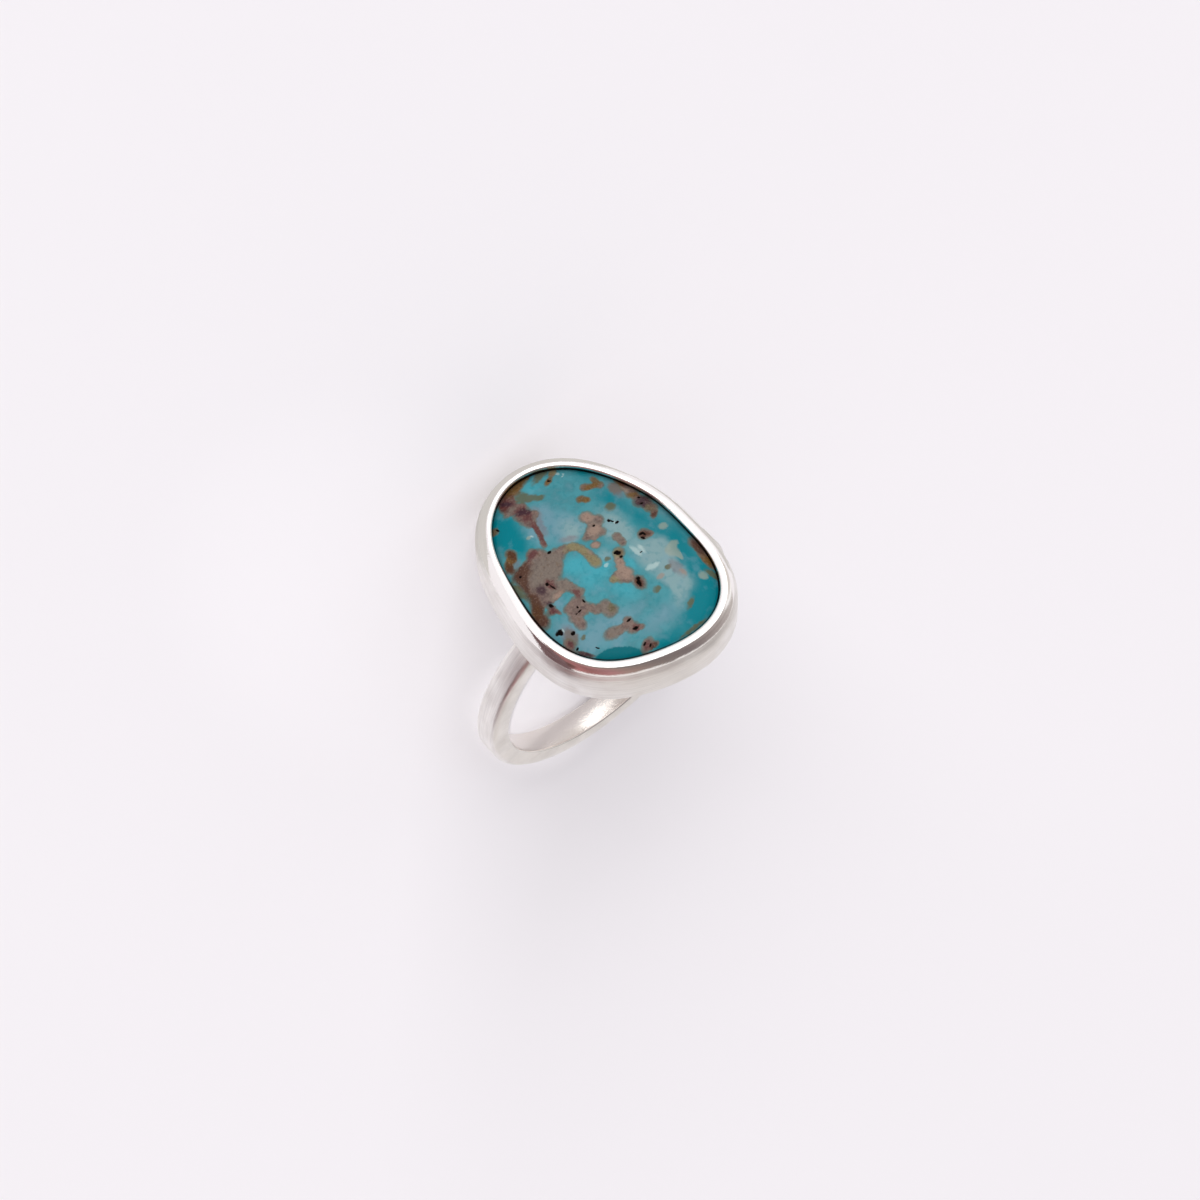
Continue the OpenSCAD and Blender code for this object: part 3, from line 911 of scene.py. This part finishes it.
# A low key lamp for the floor's shadows, a soft one for the ring, two small spots on the floor, of
# which one is the light that the band throws inside it, and a glow that only metal mirrors
# columns: name, place and aim in metres, width and height in metres, power, whether the lamp's light
# is for the floor alone or for all but the floor, and a spot's angle in degrees
LAMPS = (
    ("key_on_floor", (0, -4, 1.15), (0, 0, 1.15), (4, 2.3), "key_power", "INCLUDE", 0),
    ("soft_front", (0.15, -0.6, 0.45), HOLE_CENTRE, (0.4, 0.3), "front_power", "EXCLUDE", 0),
    (
        "spot_in_hole", (0.09, -0.202, 0.197), (0.0045, 0.0082, 0), (0.01, 0.01),
        "spot_power", "INCLUDE", 1.8,
    ),
    (
        "spot_at_side", (0.12, -0.24, 0.2), (0.011, -0.009, 0), (0.01, 0.01),
        "side_power", "INCLUDE", 5,
    ),
    ("bounce", (-0.05, -0.22, 0.001), (-0.05, -0.22, 1), (0.4, 0.36), "bounce_power", "", 0),
)


class RING_OT_stage(bpy.types.Operator):
    """Set the matt white floor, the soft light and the camera"""

    bl_idname = "ring.stage"
    bl_label = "Stage"

    def lay_floor(self, stage):
        start_clean()
        bpy.ops.mesh.primitive_circle_add(
            vertices=96, radius=stage.floor_size, fill_type="NGON", location=(0, 0, 0)
        )
        floor = bpy.context.object
        floor.name = floor.data.name = "white_floor"
        material, add, ring_mm = new_material("paper_matt_white")
        fibre = add("TexNoise", {"Vector": ring_mm, "Scale": 0.02, "Detail": 2.0})
        tint = {"Factor": fibre, "A": rgba(stage.floor, 0.98), "B": rgba(stage.floor)}
        tint = add("Mix", tint, data_type="RGBA")
        paper = {"Base Color": tint, "Roughness": 0.9, "Specular IOR Level": 0.1}
        floor.data.materials.append(close_material(material, "BsdfPrincipled", paper))
        return floor

    def light_room(self, scene, stage):
        """Even white light. Metal mirrors a brighter side at -Y and the dusky arc besides."""
        scene.world = bpy.data.worlds.new("soft_room")
        add = empty_tree(scene.world)
        toward = add("TexCoord").outputs["Generated"]

        def between(pole, *limits):
            """The directions whose cosine from a pole is past each limit, which is a soft edge."""
            cosine = add("VectorMath", {0: toward, 1: Vector(pole).normalized()}, operation="DOT_PRODUCT")
            inside = 1.0
            for edge, full in limits:
                limit = {"Value": cosine, "From Min": edge, "From Max": full}
                past = add("MapRange", limit, interpolation_type="SMOOTHSTEP")
                inside = add("Math", {0: inside, 1: past}, operation="MULTIPLY")
            return cosine, inside

        room = rgba(stage.room)
        for direction, limit, tone in (
            ((0.1, 1, -0.1), (0.26, 0.97), rgba(stage.dim_side)),
            ((-0.95, -0.25, 0.0), (0.8, 0.95), rgba(stage.dim_side)),
            ((-0.17, -0.955, 0.2), (0.78, 0.84), (*[stage.bright_side] * 3, 1)),
        ):
            mix = {"Factor": between(direction, limit)[1], "A": room, "B": tone}
            room = add("Mix", mix, data_type="RGBA")

        along, started = between(DUSK_START, (-0.85, -0.7))
        across, held = between(DUSK_POLE, (-0.8, -0.68), (0.53, 0.48))
        place = add("MapRange", {"Value": along, "From Min": -1, "From Max": 1})
        tones = add("ValToRGB", {"Fac": place})
        stops = tones.color_ramp.elements
        while len(stops) < len(DUSK_TONES):
            stops.new(1.0)
        for stop, (cosine, code) in zip(stops, DUSK_TONES):
            stop.position, stop.color = (cosine + 1) / 2, rgba(linear(code))
        folds = add("TexNoise", {"W": across, "Scale": 7.0, "Detail": 2.0}, noise_dimensions="1D")
        deep = add("MapRange", {"Value": folds, "From Min": 0.4, "From Max": 0.7, "To Max": 0.5})
        dusk = add("Mix", {"Factor": deep, "A": tones, "B": rgba(stage.dusk_folds)}, data_type="RGBA")
        arc = add("Math", {0: started, 1: held}, operation="MULTIPLY")
        mirrored = add("Mix", {"Factor": arc, "A": room, "B": dusk}, data_type="RGBA")

        ray = add("LightPath").outputs
        mix = {"Factor": ray["Is Glossy Ray"], "A": rgba(stage.room, stage.fill), "B": mirrored}
        light = add("Mix", mix, data_type="RGBA")
        lit = add("Background", {"Color": light, "Strength": stage.room_light})
        seen = add("Background", {"Color": rgba(stage.floor), "Strength": 1.0})
        both = add("MixShader", {0: ray["Is Camera Ray"], 1: lit, 2: seen})
        add("OutputWorld", {"Surface": both})

    def hang_lamps(self, stage, floor):
        for name, place, aim, size, its_power, floor_is, spot_deg in LAMPS:
            bpy.ops.object.light_add(type="AREA", location=place)
            lamp = bpy.context.object
            lamp.name = lamp.data.name = name
            lamp.data.shape = "RECTANGLE"
            lamp.data.size, lamp.data.size_y = size
            lamp.data.energy = getattr(stage, its_power)
            lamp.rotation_euler = (Vector(aim) - lamp.location).to_track_quat("-Z", "Y").to_euler()
            if spot_deg:
                lamp.data.type = "SPOT"
                lamp.data.spot_size, lamp.data.spot_blend = math.radians(spot_deg), 1.0
            if floor_is:
                lit = bpy.data.collections.new(name + "_lights")
                lit.objects.link(floor)
                lit.collection_objects[0].light_linking.link_state = floor_is
                lamp.light_linking.receiver_collection = lit
                lamp.visible_glossy = False
            else:
                lamp.visible_diffuse = False

    def set_cards(self):
        for name, middle, size, turn, dark, light in CARDS:
            start_clean()
            bpy.ops.mesh.primitive_plane_add(size=1, rotation=(0, math.radians(turn), 0))
            card = bpy.context.object
            card.name = card.data.name = name
            card.scale, card.location = size, middle
            bpy.ops.object.transform_apply(location=True, rotation=True, scale=True)
            # Each card's glow is a painted reflection, with a slow mottle
            material, add, ring_mm = new_material(name + "_cloth")
            glow_mottle = add("TexNoise", {"Vector": ring_mm, "Scale": 0.2, "Detail": 3.0})
            mix = {"Factor": glow_mottle, "A": rgba(linear(dark)), "B": rgba(linear(light))}
            mirrored_glow = add("Mix", mix, data_type="RGBA")
            card.data.materials.append(close_material(material, "Emission", {"Color": mirrored_glow}))
            card.visible_camera = card.visible_diffuse = card.visible_shadow = False

    def place_camera(self, scene):
        turn = LAY_DOWN.to_3x3()
        toward, right, down = (turn @ v for v in (CAMERA_TOWARD, IMAGE_RIGHT, IMAGE_DOWN))
        place = HOLE_CENTRE + toward * CAMERA_AWAY_MM * MM
        aim = HOLE_CENTRE + (right * AIM_RIGHT_MM + down * AIM_DOWN_MM) * MM
        back = (place - aim).normalized()
        side = (-down).cross(back).normalized()
        up = back.cross(side)
        bpy.ops.object.camera_add()
        camera = bpy.context.object
        camera.name = camera.data.name = "camera"
        camera.matrix_world = Matrix.Translation(place) @ Matrix((side, up, back)).transposed().to_4x4()
        camera.data.lens = LENS_MM
        camera.data.clip_start, camera.data.clip_end = 0.01, 20
        scene.camera = camera

    def execute(self, context):
        stage = context.scene.ring_stage
        floor = self.lay_floor(stage)
        self.light_room(context.scene, stage)
        self.hang_lamps(stage, floor)
        self.set_cards()
        self.place_camera(context.scene)
        # Plain colours, so that white stays white and the stone keeps its hue
        context.scene.view_settings.view_transform = "Standard"
        return {"FINISHED"}


OPERATORS = (RING_OT_silver, RING_OT_stone, RING_OT_stage)
GROUPS = {
    "ring_sizes": RingSizes,
    "stone_sizes": StoneSizes,
    "silver_finish": SilverFinish,
    "stone_colours": StoneColours,
    "ring_stage": StageSettings,
}


class RING_PT_panel(bpy.types.Panel):
    bl_idname = "RING_PT_panel"
    bl_label = "Turquoise Ring"
    bl_space_type = "VIEW_3D"
    bl_region_type = "UI"
    bl_category = "Ring"

    def draw(self, context):
        for name, group in GROUPS.items():
            box = self.layout.box()
            for prop in group.__annotations__:
                box.prop(getattr(context.scene, name), prop)
        for operator in OPERATORS:
            self.layout.operator(operator.bl_idname)


CLASSES = (*GROUPS.values(), *OPERATORS, RING_PT_panel)


def register():
    for cls in CLASSES:
        bpy.utils.register_class(cls)
    for name, group in GROUPS.items():
        setattr(bpy.types.Scene, name, bpy.props.PointerProperty(type=group))


def unregister():
    for name in GROUPS:
        delattr(bpy.types.Scene, name)
    for cls in reversed(CLASSES):
        bpy.utils.unregister_class(cls)


def main():
    register()
    for operator in (bpy.ops.ring.stage, bpy.ops.ring.silver, bpy.ops.ring.stone):
        operator()
    start_clean()


if __name__ == "__main__":
    main()
